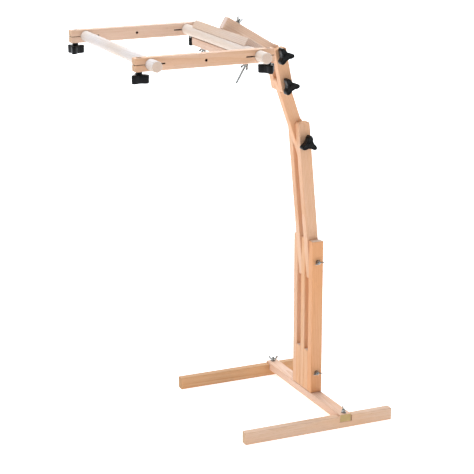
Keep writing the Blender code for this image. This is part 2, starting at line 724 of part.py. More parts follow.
def build_rail(name, centre):
    """A rail bored for both rollers, slit at both ends and bolted across the slits."""
    half = STOCK_WIDTH / 2
    right = RAIL_PAST_ROLLER
    left = right - RAIL_LENGTH
    low = (left, centre - STOCK_THICKNESS / 2, -half)
    high = (right, centre + STOCK_THICKNESS / 2, half)
    rail = add_part(name, box_mesh(name, low, high), SCROLL_FRAME, TIMBER)
    ease_edges(rail)
    inner = centre - OVERRUN
    outer = centre + OVERRUN
    end_slit = END_SLIT_HEIGHT / 2
    inner_slit = INNER_SLIT_HEIGHT / 2
    front_roller = -ROLLER_SPACING
    mill(rail, (left - OVERRUN, inner, -end_slit), (front_roller, outer, end_slit))
    mill(rail, (front_roller, inner, -inner_slit),
         (front_roller + SLIT_PAST_ROLLER, outer, inner_slit))
    mill(rail, (-SLIT_PAST_ROLLER, inner, -inner_slit), (0.0, outer, inner_slit))
    mill(rail, (0.0, inner, -end_slit), (right + OVERRUN, outer, end_slit))
    ends = ((front_roller, left + RAIL_BOLT_INSET), (0.0, right - RAIL_BOLT_INSET))
    for roller_x, bolt_x in ends:
        drill(rail, (roller_x, centre, 0), "front",
              ROLLER_RADIUS + GAP, facets=ROLLER_FACETS)
        drill(rail, (bolt_x, centre, 0), "up")
        drill(rail, (bolt_x, centre, half), "up", RECESS_RADIUS, 2 * RECESS_DEPTH)
    drill(rail, ((left + right) / 2, centre, 0), "front", RAIL_HOLE_RADIUS)


def build_end_clamp(label, bolt_x, centre, spin):
    """The recessed bolt through one rail end and the knob under it."""
    half = STOCK_WIDTH / 2
    head_seat = half - RECESS_DEPTH + GAP
    length = head_seat + half + GAP + KNOB_BORE_DEPTH - KNOB_END_PLAY
    name = "rail_bolt_" + label
    add_part(name, flat_bolt_mesh(name, length), SCROLL_FRAME, ZINC,
             (bolt_x, centre, head_seat), "up")
    add_part("rail_knob_" + label, KNOB, SCROLL_FRAME, PLASTIC,
             (bolt_x, centre, -half - GAP), "down", spin)


def build_scroll_frame():
    right = RAIL_PAST_ROLLER
    left = right - RAIL_LENGTH
    for side, label, front_spin, back_spin in ((-1, "near", 34, 89), (1, "far", 0, 24)):
        centre = side * RAIL_OFFSET
        build_rail("rail_" + label, centre)
        build_end_clamp(label + "_front", left + RAIL_BOLT_INSET, centre, front_spin)
        build_end_clamp(label + "_back", right - RAIL_BOLT_INSET, centre, back_spin)

    half_length = ROLLER_LENGTH / 2
    profile = [
        (0.0, half_length),
        (ROLLER_RADIUS - ROLLER_CHAMFER, half_length),
        (ROLLER_RADIUS, half_length - ROLLER_CHAMFER),
        (ROLLER_RADIUS, ROLLER_CHAMFER - half_length),
        (ROLLER_RADIUS - ROLLER_CHAMFER, -half_length),
        (0.0, -half_length),
    ]
    for name, place in (("roller_back", 0.0), ("roller_front", -ROLLER_SPACING)):
        roller_mesh = turned_mesh(name, profile, ROLLER_FACETS)
        add_part(name, roller_mesh, SCROLL_FRAME, DOWEL, (place, -POST_Y, 0), "front")


build_base()
build_linkage()
build_clamp()
build_scroll_frame()
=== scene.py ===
"""Looks of the needlework floor stand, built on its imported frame.

The timber and the washers are the frame's own nodes, in better materials and with softened
edges. Finer meshes on the same bodies take the place of the bolts, wing nuts and knobs.
"""

import json
import math

import bmesh
import bpy
from mathutils import Matrix, Vector


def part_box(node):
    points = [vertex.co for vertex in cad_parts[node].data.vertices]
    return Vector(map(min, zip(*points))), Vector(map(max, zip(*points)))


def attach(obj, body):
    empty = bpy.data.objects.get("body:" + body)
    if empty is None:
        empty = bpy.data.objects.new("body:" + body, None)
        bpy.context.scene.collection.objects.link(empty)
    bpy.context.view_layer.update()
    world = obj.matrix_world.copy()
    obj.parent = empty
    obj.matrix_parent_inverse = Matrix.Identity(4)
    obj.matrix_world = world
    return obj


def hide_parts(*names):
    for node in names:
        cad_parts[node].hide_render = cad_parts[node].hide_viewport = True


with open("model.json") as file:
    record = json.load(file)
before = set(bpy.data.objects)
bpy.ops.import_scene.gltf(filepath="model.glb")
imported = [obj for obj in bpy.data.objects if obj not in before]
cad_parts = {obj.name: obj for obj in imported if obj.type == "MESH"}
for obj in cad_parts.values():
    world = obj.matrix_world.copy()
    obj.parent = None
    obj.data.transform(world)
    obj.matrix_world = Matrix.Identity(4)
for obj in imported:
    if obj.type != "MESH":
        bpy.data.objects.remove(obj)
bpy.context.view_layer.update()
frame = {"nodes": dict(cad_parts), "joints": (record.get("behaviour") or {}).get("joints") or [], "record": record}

NODES = frame["nodes"]
JOINTS = {joint["name"]: joint for joint in frame["joints"]}
OWNERS = {
    node: body
    for body, members in frame["record"]["behaviour"]["bodies"].items()
    for node in members
}

# ----------------------------------------------------------------- driving dimensions

# Camera
CAMERA_PLACE = (-1.549965, -3.4451, 1.5352)
CAMERA_TURN = math.radians(24.324)
CAMERA_DIP = math.radians(16.020)
CAMERA_LENS = 124.87
CAMERA_SENSOR = 36.0

# Edges of the frame's own nodes
WELD_REACH = 0.00001
TIMBER_EDGE = 0.0004
WASHER_EDGE = 0.0002
EDGE_SEGMENTS = 2
EDGE_ANGLE = math.radians(35)

# Bolts
BOLT_SIDES = 24
BOLT_SHARP_ANGLE = 40
SHANK_RADIUS = 0.0025
THREAD_CREST = 0.00256
THREAD_ROOT = 0.00212
THREAD_PITCH = 0.0008
THREAD_START = 0.0003
ROWS_PER_TURN = 4
THREADED_END = 0.014
CLAMP_THREAD = 0.052
TIP_RADIUS = THREAD_ROOT * 0.45
TIP_RIM_RADIUS = THREAD_ROOT * 0.93
TIP_RIM_HEIGHT = 0.00012
SEAT_EDGE = 0.0003
DOME_RADIUS = 0.0067
DOME_HEIGHT = 0.0030
DOME_RIM = 0.0004
DOME_DEGREES = (0, 8, 20, 34, 48, 62, 75, 86)
HEAD_RADIUS = 0.0053
HEAD_HEIGHT = 0.0035
HEAD_EDGE = 0.0006
HEAD_EDGE_MIDDLE = 0.00018
SOCKET_RADIUS = 0.0024
SOCKET_DEPTH = 0.0018
SOCKET_EDGE = 0.0003

# Wing nuts. A point of a wing is its distance from the axis and its height.
NUT_SIDES = 48
NUT_BORE = 0.0026
NUT_BORE_EDGE = 0.0003
NUT_BORE_EDGE_DEPTH = 0.0004
NUT_BASE = 0.0055
NUT_BASE_EDGE = 0.0003
NUT_BASE_HEIGHT = 0.0012
NUT_TOP = 0.0045
NUT_TOP_EDGE = 0.0005
NUT_HEIGHT = 0.0065
WING_ROOT = NUT_BORE + 0.0010
WING_FOOT = ((WING_ROOT, 0.0006), (NUT_BASE + 0.0004, 0.0010))
WING_OUT = 0.0097
WING_UP = 0.0095
WING_ROUND = 0.0030
WING_DEGREES = range(-50, 191, 20)
WING_NECK = ((NUT_TOP + 0.0005, NUT_HEIGHT * 0.86), (WING_ROOT, NUT_HEIGHT * 0.80))
WING_HALF_THICKNESS = 0.0011
WING_EDGE = 0.0004
NUT_VOXEL = 0.00028
NUT_SMOOTHING = 0.5
NUT_SMOOTHING_PASSES = 4

# Knobs. A pair in HUB_FOOT_EDGE or HUB_TOP_FLARE says how far a ring stands out of the
# hub's side, and how high it is over the hub's foot or its top. A pair in CROWN_RIM is a
# ring's inset and one in CROWN_BOSS its radius, each with its height over the knob's top.
# A pair in CROWN_DISH is how round a ring is, and the radius of the circle it nears.
KNOB_SIDES = 96
KNOB_SHARP_ANGLE = 30
KNOB_HEIGHT = 0.0250
KNOB_BORE = 0.0027
KNOB_BORE_DEPTH = 0.0022
KNOB_BORE_EDGE = 0.0005
KNOB_HUB = 0.0070
KNOB_HUB_HEIGHT = 0.0060
HUB_FOOT_EDGE = ((-0.0006, 0.0), (-0.0001, 0.0004), (0.0, 0.0010))
HUB_TOP_FLARE = ((0.0, -0.0012), (0.0003, -0.0004), (0.0009, 0.0))
KNOB_REACH = 0.0220
KNOB_WAIST = 0.0105
KNOB_SHARPNESS = 0.0014
LOBE_EDGE = 0.0019
LOBE_EDGE_DEGREES = (0, 20, 42, 66, 90)
LOBE_MIDDLE_HEIGHT = 0.008
LOBE_MIDDLE_SHRINK = 0.994
CROWN_SHRINK = 0.986
CROWN_EDGE = 0.0024
CROWN_EDGE_DEGREES = (0, 16, 34, 52, 70, 90)
CROWN_RIM = ((0.0034, -0.0001), (0.0042, -0.0008))
CROWN_DISH_INSET = 0.0050
CROWN_DISH_DEPTH = 0.0012
CROWN_DISH = ((0.30, 0.0072), (0.92, 0.0068))
CROWN_BOSS = (
    (0.0061, -0.0010), (0.0057, -0.0004), (0.0050, -0.0001), (0.0036, 0.0), (0.0033, -0.0003),
)

# Cuts in the rails, measured from the rails' middles
RAIL_HOLE_RADIUS = 0.0030
INNER_SLIT = 0.0026
END_SLIT = 0.0010
SLIT_START = 0.0955
ROLLER_PLACE = 0.1285
CUT_EDGE = 0.0002

# How far apart the rings of a wave texture are at a scale of 1
WAVE_SPACING = math.pi / 10

# Wood grain. A noise has its stretch along the grain, its scale, detail and roughness.
RING_SPACING = 0.0030
RING_SPACING_SWING = 0.0012
RING_STRETCH = 0.045
RING_DISTORTION = 2.6
RING_DETAIL = 2.0
RING_DETAIL_SCALE = 0.6
STREAKS = (0.016, 520.0, 3.0, 0.6)
FIBRES = (0.022, 2100.0, 2.0, 0.5)
CLOUDS = (0.16, 26.0, 2.0, 0.5)
DASHES = (0.045, 1500.0, 1.0, 0.4)
GRAIN_LEAN = math.radians(1.4)
GRAIN_LEAN_SWING = 0.3
PITH_NEAREST = 0.034
PITH_SPREAD = 0.030
ROLLER_CONTRAST = 0.55

# The span of each layer's values over which it comes in
RING_SPAN = (0.35, 1.0)
STREAK_SPAN = (0.34, 0.68)
CLOUD_SPAN = (0.40, 0.62)
PORE_SPAN = (0.66, 0.74)
BLOOM_SPAN = (0.3, 0.72)
MIDDLE_SPAN = (0.3, 0.7)
WIDE_SPAN = (0.25, 0.75)
END_FACING = (0.80, 0.93)

# Factors of a stick's seed, unlike each other so that its features vary apart
TURN_STEP = 1.7
LEAN_STEP = 2.3
PITH_SIDE_STEP = 2.4
PITH_REACH_STEP = 5.1
ALONG_STEP = 0.731
SPACING_STEP = 3.7

# Wood tints, as shares of the piece's own tone
LIGHT_TINT = (1.06, 1.09, 1.13)
DEEP_LOSS = (0.14, 0.27, 0.42)
WARM_TINT = (1.01, 0.88, 0.72)
PORE_TINT = (0.62, 0.46, 0.34)
END_TINT = (0.86, 0.80, 0.68)
END_DEEP_TINT = (0.80, 0.72, 0.62)

# How much of each layer shows in the wood
RING_SHARE = 0.62
STREAK_SHARE = 0.46
CLOUD_SHARE = 0.70
FIBRE_SHARE = 0.16
PORE_SHARE = 0.42
END_RING_SHARE = 0.8
END_PORE_SHARE = 0.5
END_ROUGHNESS_RISE = 0.14
FIBRE_RELIEF = 0.5
PORE_RELIEF = 0.7
RING_RELIEF = 0.25

# Surfaces. A bump has its strength and its distance, and a noise with three numbers its
# scale, detail and roughness.
WOOD_ROUGHNESS = (0.50, 0.66)
WOOD_SPECULAR = 0.32
WOOD_BUMP = (0.35, 0.00025)
# Painted shade: the dark brown put inside the rails' middle hole and slits, where shade falls
CUT_PAINTED_SHADE = (0.085, 0.030, 0.012, 1)
PLASTIC_DARK = (0.0008, 0.0010, 0.0012, 1)
PLASTIC_DULL = (0.0022, 0.0026, 0.0028, 1)
PLASTIC_SPARKS = (5200.0, 2.0, 0.6)
PLASTIC_PATCHES = (160.0, 3.0, 0.55)
PLASTIC_ROUGHNESS = (0.22, 0.30)
SPARK_ROUGHNESS = (0.0, 0.07)
PLASTIC_SPECULAR = 0.17
PLASTIC_BUMP = (0.22, 0.00008)
ZINC_TONE = (0.40, 0.41, 0.40)
ZINC_DULL_TINT = (0.62, 0.62, 0.60)
ZINC_BLOOM = (420.0, 3.0, 0.6)
ZINC_SCRATCHES = (0.12, 4200.0, 2.0, 0.5)
ZINC_ROUGHNESS = (0.16, 0.30)
SCRATCH_ROUGHNESS = (-0.04, 0.06)
ZINC_BUMP = (0.10, 0.00005)

# Studio. Each lamp has its way from the stand's middle, its size, its power and its colour.
WHITE = (1, 1, 1, 1)
FLOOR_GREY = (0.90, 0.90, 0.90, 1)
FLOOR_PALE = (0.93, 0.93, 0.93, 1)
FLOOR_CLOUDS = (3.0, 2.0, 0.5)
FLOOR_ROUGHNESS = 0.9
FLOOR_SIZE = 30
FLOOR_HEIGHT = -0.0004
FLOOR_GLOW = 0.64
WORLD_LIGHT = 0.30
BACKDROP_LIGHT = 1.05
STAND_MIDDLE = Vector((0.0, 0.0, 0.55))
LAMP_DISTANCE = 9.0
LAMPS = {
    "key": ((34, -40, 18), 2.7, 108.0, (1, 1, 1)),
    "fill": ((-46, 0, 12), 6.0, 112.0, (1, 1, 1)),
    "top": ((-4, 4, 30), 6.0, 760.0, (0.88, 0.97, 1.10)),
    "back": ((18, 40, 26), 5.0, 250.0, (1.0, 0.98, 0.95)),
}

ALONG_X = Vector((1, 0, 0))
ALONG_Y = Vector((0, 1, 0))
UP = Vector((0, 0, 1))

# --------------------------------------------------------------------------- placing


def axis_of(joint_name):
    return Vector(JOINTS[joint_name]["axis"]).normalized()


def place_of(joint_name):
    return Vector(JOINTS[joint_name]["pos_m"])


def turned_place(node, direction):
    """The centre of a round node's lower end along a direction, and the node's length."""
    direction = direction.normalized()
    points = [vert.co for vert in NODES[node].data.vertices]
    heights = [point.dot(direction) for point in points]
    across = direction.orthogonal().normalized()
    other = direction.cross(across)
    middle = Vector()
    for way in (across, other):
        reach = [point.dot(way) for point in points]
        middle += way * (max(reach) + min(reach)) / 2
    return middle + direction * min(heights), max(heights) - min(heights)


def furthest_way(node, start, direction):
    """The direction from a node's axis to the point of it that is furthest out."""
    best = Vector()
    for vert in NODES[node].data.vertices:
        out = vert.co - start
        out -= direction * out.dot(direction)
        if out.length > best.length:
            best = out
    return best.normalized()


def standing(start, direction, pointing=None):
    """A placing matrix: own +Z along a direction and own +X towards another."""
    direction = direction.normalized()
    if pointing is None:
        pointing = direction.orthogonal()
    x_axis = (pointing - direction * pointing.dot(direction)).normalized()
    y_axis = direction.cross(x_axis)
    turn = Matrix((x_axis, y_axis, direction)).transposed().to_4x4()
    return Matrix.Translation(start) @ turn


# ------------------------------------------------------------------------- materials


class Graph:
    """A short way to write a material's nodes."""

    # The Mix node names the sockets of all its data types alike, so the colour ones are
    # picked by number.
    MIX_FIRST = 6
    MIX_SECOND = 7
    MIX_RESULT = 2

    def __init__(self, name):
        self.material = bpy.data.materials.new(name)
        self.material.use_nodes = True
        self.tree = self.material.node_tree
        self.shader = self.tree.nodes["Principled BSDF"]

    def node(self, kind, **settings):
        made = self.tree.nodes.new(kind)
        for key, value in settings.items():
            setattr(made, key, value)
        return made

    def join(self, source, target):
        self.tree.links.new(source, target)

    def feed(self, target, value):
        """Link a socket to an input, or set the input to a plain value."""
        if isinstance(value, bpy.types.NodeSocket):
            self.join(value, target)
        else:
            target.default_value = value

    def surface(self, **values):
        """Set the shader's inputs; an underscore stands for a space in their names."""
        for name, value in values.items():
            self.feed(self.shader.inputs[name.replace("_", " ")], value)

    def math(self, operation, first, second=0.0, clamp=False):
        made = self.node("ShaderNodeMath", operation=operation, use_clamp=clamp)
        self.feed(made.inputs[0], first)
        self.feed(made.inputs[1], second)
        return made.outputs[0]

    def add(self, first, second, clamp=False):
        return self.math("ADD", first, second, clamp)

    def take(self, first, second):
        return self.math("SUBTRACT", first, second)

    def times(self, first, second):
        return self.math("MULTIPLY", first, second)

    def mapped(self, vector, scale, location=(0, 0, 0), rotation=(0, 0, 0)):
        made = self.node("ShaderNodeMapping")
        self.join(vector, made.inputs["Vector"])
        made.inputs["Scale"].default_value = scale
        made.inputs["Location"].default_value = location
        made.inputs["Rotation"].default_value = rotation
        return made.outputs["Vector"]

    def noise(self, vector, scale, detail, roughness):
        made = self.node("ShaderNodeTexNoise")
        self.join(vector, made.inputs["Vector"])
        made.inputs["Scale"].default_value = scale
        made.inputs["Detail"].default_value = detail
        made.inputs["Roughness"].default_value = roughness
        return made.outputs["Fac"]

    def drawn_noise(self, vector, stretch, scale, detail, roughness):
        """Noise that is drawn out along the vector's own Z."""
        return self.noise(self.mapped(vector, (1, 1, stretch)), scale, detail, roughness)

    def span(self, value, low, high, to_low=0.0, to_high=1.0):
        """Map a value from one span onto another, and clamp it there."""
        made = self.node("ShaderNodeMapRange")
        self.join(value, made.inputs["Value"])
        made.inputs["From Min"].default_value = low
        made.inputs["From Max"].default_value = high
        made.inputs["To Min"].default_value = to_low
        made.inputs["To Max"].default_value = to_high
        return made.outputs["Result"]

    def mix(self, share, first, second):
        made = self.node("ShaderNodeMix", data_type="RGBA")
        self.feed(made.inputs["Factor"], share)
        self.feed(made.inputs[self.MIX_FIRST], first)
        self.feed(made.inputs[self.MIX_SECOND], second)
        return made.outputs[self.MIX_RESULT]

    def bump(self, height, strength, distance):
        made = self.node("ShaderNodeBump")
        self.join(height, made.inputs["Height"])
        made.inputs["Strength"].default_value = strength
        made.inputs["Distance"].default_value = distance
        self.join(made.outputs["Normal"], self.shader.inputs["Normal"])


def opaque(colour):
    return tuple(colour) + (1.0,)


def shade(colour, factors):
    return opaque(colour[i] * factors[i] for i in range(3))


def rail_cut_shade_mask(graph, place, centre):
    """Where a rail gets painted shade, the dark inside its middle hole and its slits: whether a spot lies there,
    from 0 to 1.
    """
    middle = graph.mapped(place, (1, 1, 1), tuple(-value for value in centre))
    parts = graph.node("ShaderNodeSeparateXYZ")
    graph.join(middle, parts.inputs[0])
    along = graph.math("ABSOLUTE", parts.outputs["X"])
    across = graph.math("ABSOLUTE", parts.outputs["Z"])
    reach = graph.math("SQRT", graph.add(graph.times(along, along), graph.times(across, across)))
    hole = graph.span(reach, RAIL_HOLE_RADIUS + CUT_EDGE, RAIL_HOLE_RADIUS)
    half_height = graph.span(along, ROLLER_PLACE - CUT_EDGE, ROLLER_PLACE,
                             INNER_SLIT / 2 + CUT_EDGE, END_SLIT / 2 + CUT_EDGE)
    level = graph.math("LESS_THAN", across, half_height)
    far_enough = graph.math("GREATER_THAN", along, SLIT_START)
    return graph.math("MAXIMUM", hole, graph.times(level, far_enough))


def sawn_place(graph, place, grain, centre, seed):
    """Where a spot was in the tree, with the pith along Z.

    The seed says which way the grain leans a little, and where the pith was.
    """
    side = grain.orthogonal().normalized()
    side.rotate(Matrix.Rotation(seed * TURN_STEP, 3, grain))
    wobble = 1 - GRAIN_LEAN_SWING + GRAIN_LEAN_SWING * math.sin(seed * LEAN_STEP)
    leaning = (grain + side * (GRAIN_LEAN * wobble)).normalized()
    turn = leaning.rotation_difference(UP)
    middle = turn @ centre
    angle = seed * PITH_SIDE_STEP
    pith = PITH_NEAREST + PITH_SPREAD * (0.5 + 0.5 * math.sin(seed * PITH_REACH_STEP))
    shift = (
        pith * math.cos(angle) - middle.x,
        pith * math.sin(angle) - middle.y,
        seed * ALONG_STEP - middle.z,
    )
    return graph.mapped(place, (1, 1, 1), shift, turn.to_euler())


def growth_rings(graph, sawn, spacing):
    """Rings round the pith, from pale at 0 to dark at 1."""
    wave = graph.node(
        "ShaderNodeTexWave", wave_type="RINGS", rings_direction="Z", wave_profile="SAW")
    graph.join(graph.mapped(sawn, (1, 1, RING_STRETCH)), wave.inputs["Vector"])
    wave.inputs["Scale"].default_value = WAVE_SPACING / spacing
    wave.inputs["Distortion"].default_value = RING_DISTORTION
    wave.inputs["Detail"].default_value = RING_DETAIL
    wave.inputs["Detail Scale"].default_value = RING_DETAIL_SCALE
    return graph.span(wave.outputs["Fac"], *RING_SPAN)


def end_grain_share(graph, normal, grain):
    """Whether a spot faces along the grain, from 0 to 1."""
    facing = graph.node("ShaderNodeVectorMath", operation="DOT_PRODUCT")
    graph.join(normal, facing.inputs[0])
    facing.inputs[1].default_value = grain
    return graph.span(graph.math("ABSOLUTE", facing.outputs["Value"]), *END_FACING)


def wood(name, grain, centre, tone, seed, end_tone, ring_spacing, contrast, paints_cut_shade):
    """Planed timber with its grain along a direction: rings round a far-off pith, streaks,
    pores and an end grain of its own. A rail's hole and slits get painted shade inside, a dark brown that stands
    in for the shade in them."""
    graph = Graph(name)
    coords = graph.node("ShaderNodeTexCoord")
    place = coords.outputs["Object"]
    grain = grain.normalized()
    sawn = sawn_place(graph, place, grain, centre, seed)
    rings = growth_rings(graph, sawn, ring_spacing)
    streaks = graph.drawn_noise(sawn, *STREAKS)
    fibres = graph.drawn_noise(sawn, *FIBRES)
    clouds = graph.drawn_noise(sawn, *CLOUDS)
    pores = graph.span(graph.drawn_noise(sawn, *DASHES), *PORE_SPAN)

    light = shade(tone, LIGHT_TINT)
    deep = shade(tone, [1 - loss * contrast for loss in DEEP_LOSS])
    warm = shade(tone, WARM_TINT)
    pore = shade(tone, PORE_TINT)
    ring_share = graph.times(rings, RING_SHARE)
    streak_share = graph.times(graph.span(streaks, *STREAK_SPAN), STREAK_SHARE)
    body = graph.mix(graph.add(ring_share, streak_share, clamp=True), light, deep)
    cloud_share = graph.times(graph.span(clouds, *CLOUD_SPAN), CLOUD_SHARE)
    body = graph.mix(cloud_share, body, warm)
    fibre_share = graph.times(graph.span(fibres, *MIDDLE_SPAN), FIBRE_SHARE)
    body = graph.mix(fibre_share, body, deep)
    body = graph.mix(graph.times(pores, PORE_SHARE), body, pore)

    end = opaque(end_tone) if end_tone else shade(tone, END_TINT)
    end_body = graph.mix(graph.times(rings, END_RING_SHARE), end, shade(end, END_DEEP_TINT))
    end_body = graph.mix(graph.times(pores, END_PORE_SHARE), end_body, pore)
    end_share = end_grain_share(graph, coords.outputs["Normal"], grain)
    colour = graph.mix(end_share, body, end_body)
    # Painted shade inside a rail's hole and slits
    if paints_cut_shade:
        colour = graph.mix(rail_cut_shade_mask(graph, place, centre), colour, CUT_PAINTED_SHADE)

    rough = graph.span(fibres, *WIDE_SPAN, *WOOD_ROUGHNESS)
    rough = graph.add(rough, graph.times(end_share, END_ROUGHNESS_RISE))
    graph.surface(Base_Color=colour, Roughness=rough, Specular_IOR_Level=WOOD_SPECULAR)
    relief = graph.times(fibres, FIBRE_RELIEF)
    relief = graph.take(relief, graph.times(pores, PORE_RELIEF))
    relief = graph.take(relief, graph.times(rings, RING_RELIEF))
    graph.bump(relief, *WOOD_BUMP)
    return graph.material


def moulded_plastic():
    """Black plastic with a fine sparked skin and a few duller patches."""
    graph = Graph("moulded_plastic")
    coords = graph.node("ShaderNodeTexCoord").outputs["Object"]
    sparks = graph.noise(coords, *PLASTIC_SPARKS)
    patches = graph.noise(coords, *PLASTIC_PATCHES)
    colour = graph.mix(graph.span(patches, *MIDDLE_SPAN), PLASTIC_DARK, PLASTIC_DULL)
    rough = graph.add(
        graph.span(patches, *MIDDLE_SPAN, *PLASTIC_ROUGHNESS),
        graph.span(sparks, *MIDDLE_SPAN, *SPARK_ROUGHNESS),
    )
    graph.surface(Base_Color=colour, Roughness=rough, Specular_IOR_Level=PLASTIC_SPECULAR)
    graph.bump(sparks, *PLASTIC_BUMP)
    return graph.material


def zinc_plate():
    """Zinc plating over steel, with fine scratches and a dull bloom."""
    graph = Graph("zinc_plate")
    coords = graph.node("ShaderNodeTexCoord").outputs["Object"]
    bloom = graph.noise(coords, *ZINC_BLOOM)
    scratches = graph.drawn_noise(coords, *ZINC_SCRATCHES)
    bright = opaque(ZINC_TONE)
    dull = shade(ZINC_TONE, ZINC_DULL_TINT)
    colour = graph.mix(graph.span(bloom, *BLOOM_SPAN), bright, dull)
    rough = graph.add(
        graph.span(bloom, *MIDDLE_SPAN, *ZINC_ROUGHNESS),
        graph.span(scratches, *MIDDLE_SPAN, *SCRATCH_ROUGHNESS),
    )
    graph.surface(Base_Color=colour, Metallic=1.0, Roughness=rough)
    graph.bump(scratches, *ZINC_BUMP)
    return graph.material


# ------------------------------------------------------------ the frame's own nodes

MAST_WAY = place_of("lower_arm_tilt") - place_of("mast_tilt")
LOWER_ARM_WAY = place_of("upper_arm_tilt") - place_of("lower_arm_tilt")
UPPER_ARM_WAY = place_of("head_arm_tilt") - place_of("upper_arm_tilt")
CLAMP_OVER = axis_of("clamp_swivel")
HEAD_ARM_WAY = ALONG_Y.cross(CLAMP_OVER)

# Tones of the planed faces
PALE = (0.74, 0.495, 0.355)
PALE_FAR = (0.73, 0.52, 0.40)
PEACH = (0.76, 0.475, 0.31)
ROSY = (0.67, 0.54, 0.455)
AMBER = (0.75, 0.405, 0.215)
BLUSH = (0.77, 0.53, 0.40)
GOLD = (0.75, 0.45, 0.265)
# The rear foot's tone, darkened with painted shade for the dimmer light it stands in
TAWNY_PAINTED_SHADE = (0.57, 0.335, 0.175)
CREAM = (0.68, 0.475, 0.345)
IVORY = (0.70, 0.635, 0.60)
SHELL = (0.77, 0.57, 0.45)
SAND = (0.72, 0.51, 0.40)

# Tones of the end grain
OLIVE_END = (0.50, 0.36, 0.155)
POST_END = (0.78, 0.62, 0.50)
HEAD_ARM_END = (0.74, 0.58, 0.50)
UPPER_JAW_END = (0.74, 0.57, 0.48)
LOWER_JAW_END = (0.72, 0.55, 0.45)
ROLLER_END = (0.72, 0.56, 0.46)

# Each stick's grain, tone, seed and end tone. With no end tone, the end follows the tone.
TIMBERS = {
    "front_foot": (ALONG_X, CREAM, 1.0, None),
    # The rear foot's tone carries painted shade
    "rear_foot": (ALONG_X, TAWNY_PAINTED_SHADE, 2.1, None),
    "crossbar": (ALONG_Y, BLUSH, 3.3, OLIVE_END),
    "post_front": (UP, AMBER, 4.2, POST_END),
    "post_middle": (UP, GOLD, 5.4, POST_END),
    "post_rear": (UP, PEACH, 6.7, POST_END),
    "spacer_front": (UP, GOLD, 7.7, POST_END),
    "spacer_rear": (UP, GOLD, 8.6, POST_END),
    "mast_front": (MAST_WAY, PEACH, 9.2, None),
    "mast_rear": (MAST_WAY, PEACH, 10.5, None),
    "lower_arm": (LOWER_ARM_WAY, PEACH, 11.3, None),
    "upper_arm_front": (UPPER_ARM_WAY, PEACH, 12.8, None),
    "upper_arm_rear": (UPPER_ARM_WAY, PEACH, 13.4, None),
    "head_arm": (HEAD_ARM_WAY, SHELL, 14.9, HEAD_ARM_END),
    "jaw_upper": (ALONG_Y, ROSY, 15.5, UPPER_JAW_END),
    "jaw_lower": (ALONG_Y, SAND, 16.1, LOWER_JAW_END),
    "rail_near": (ALONG_X, PALE, 17.6, None),
    "rail_far": (ALONG_X, PALE_FAR, 18.2, None),
    "roller_back": (ALONG_Y, IVORY, 19.8, ROLLER_END),
    "roller_front": (ALONG_Y, IVORY, 20.3, ROLLER_END),
}

WASHERS = sorted(node for node in OWNERS if "washer" in node)


def repaint(node, material):
    """Give a CAD node a better material, and weld its faces together at their edges."""
    node.data.materials.clear()
    node.data.materials.append(material)
    weld = node.modifiers.new("weld", "WELD")
    weld.merge_threshold = WELD_REACH


def soften_edges(node, width):
    soften = node.modifiers.new("soften", "BEVEL")
    soften.width = width
    soften.segments = EDGE_SEGMENTS
    soften.limit_method = "ANGLE"
    soften.angle_limit = EDGE_ANGLE
    return soften


def dress_timber():
    for node, (grain, tone, seed, end_tone) in TIMBERS.items():
        is_roller = node.startswith("roller")
        low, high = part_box(node)
        spacing = RING_SPACING + RING_SPACING_SWING * math.sin(seed * SPACING_STEP)
        contrast = ROLLER_CONTRAST if is_roller else 1.0
        # Rails get painted shade inside their hole and slits
        material = wood(node + "_wood", grain, (low + high) / 2, tone, seed, end_tone,
                        spacing, contrast, paints_cut_shade=node.startswith("rail"))
        repaint(NODES[node], material)
        if not is_roller:
            soften_edges(NODES[node], TIMBER_EDGE).harden_normals = True


def dress_washers(material):
    for node in WASHERS:
        repaint(NODES[node], material)
        soften_edges(NODES[node], WASHER_EDGE)


# -------------------------------------------------------------------------- hardware


def join_rings(bm, lower, upper):
    """A band of faces between two rings with the same number of points."""
    for step in range(len(lower)):
        following = (step + 1) % len(lower)
        bm.faces.new((lower[step], lower[following], upper[following], upper[step]))


def finished_mesh(name, bm):
    """Turn the faces outwards and hand over the mesh."""
    bmesh.ops.recalc_face_normals(bm, faces=bm.faces)
    mesh = bpy.data.meshes.new(name)
    bm.to_mesh(mesh)
    bm.free()
    return mesh


def skin(name, rings, material, sharp_angle):
    """A closed mesh lofted through rings of equal length, capped at both ends."""
    bm = bmesh.new()
    loops = [[bm.verts.new(point) for point in ring] for ring in rings]
    for lower, upper in zip(loops, loops[1:]):
        join_rings(bm, lower, upper)
    bm.faces.new(list(reversed(loops[0])))
    bm.faces.new(loops[-1])
    mesh = finished_mesh(name, bm)
    mesh.shade_smooth()
    mesh.set_sharp_from_angle(angle=math.radians(sharp_angle))
    mesh.materials.append(material)
    return mesh


def add_piece(name, mesh, place, node):
    """Link a piece in its place, in the stead of a CAD node and on that node's body."""
    piece = bpy.data.objects.new(name, mesh)
    bpy.context.scene.collection.objects.link(piece)
    piece.matrix_world = place
    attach(piece, OWNERS[node])
    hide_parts(node)


def ring_point(radius, angle, height):
    return Vector((radius * math.cos(angle), radius * math.sin(angle), height))


def round_ring(radius, height, sides):
    return [ring_point(radius, 2 * math.pi * step / sides, height) for step in range(sides)]


def hexagon_ring(radius, height):
    """A ring with as many points as a bolt's others, drawn in to a hexagon."""
    ring = []
    for step in range(BOLT_SIDES):
        angle = 2 * math.pi * step / BOLT_SIDES
        off_flat = (angle + math.pi / 6) % (math.pi / 3) - math.pi / 6
        reach = radius * math.cos(math.pi / 6) / math.cos(off_flat)
        ring.append(ring_point(reach, angle, height))
    return ring


